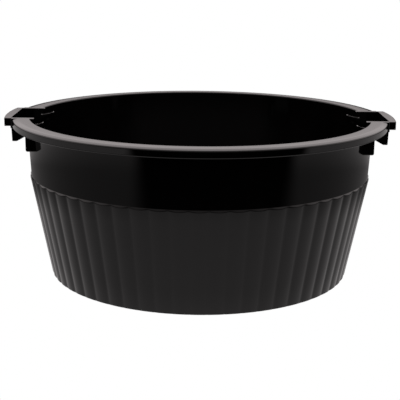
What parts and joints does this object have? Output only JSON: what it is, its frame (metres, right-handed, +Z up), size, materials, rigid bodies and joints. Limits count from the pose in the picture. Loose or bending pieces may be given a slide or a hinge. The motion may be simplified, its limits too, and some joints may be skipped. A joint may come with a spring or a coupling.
{
  "type": "hair color bowl",
  "caption": "Round black salon tint bowl with a reeded lower wall, a flat turned-down rim, slotted hook-on ears and a rubber foot ring.",
  "frame": {"origin": "centre of the underside, on the surface the bowl stands on", "axes": "+Z up, +X through the right-hand ear, +Y to the back"},
  "size_m": [0.1422, 0.1366, 0.058],
  "materials": {
    "black_polypropylene": "satin gloss, as moulded",
    "black_rubber": "matte"
  },
  "bodies": {
    "root": {"bowl_body": "black_polypropylene", "non_slip_ring": "black_rubber"}
  },
  "joints": []
}
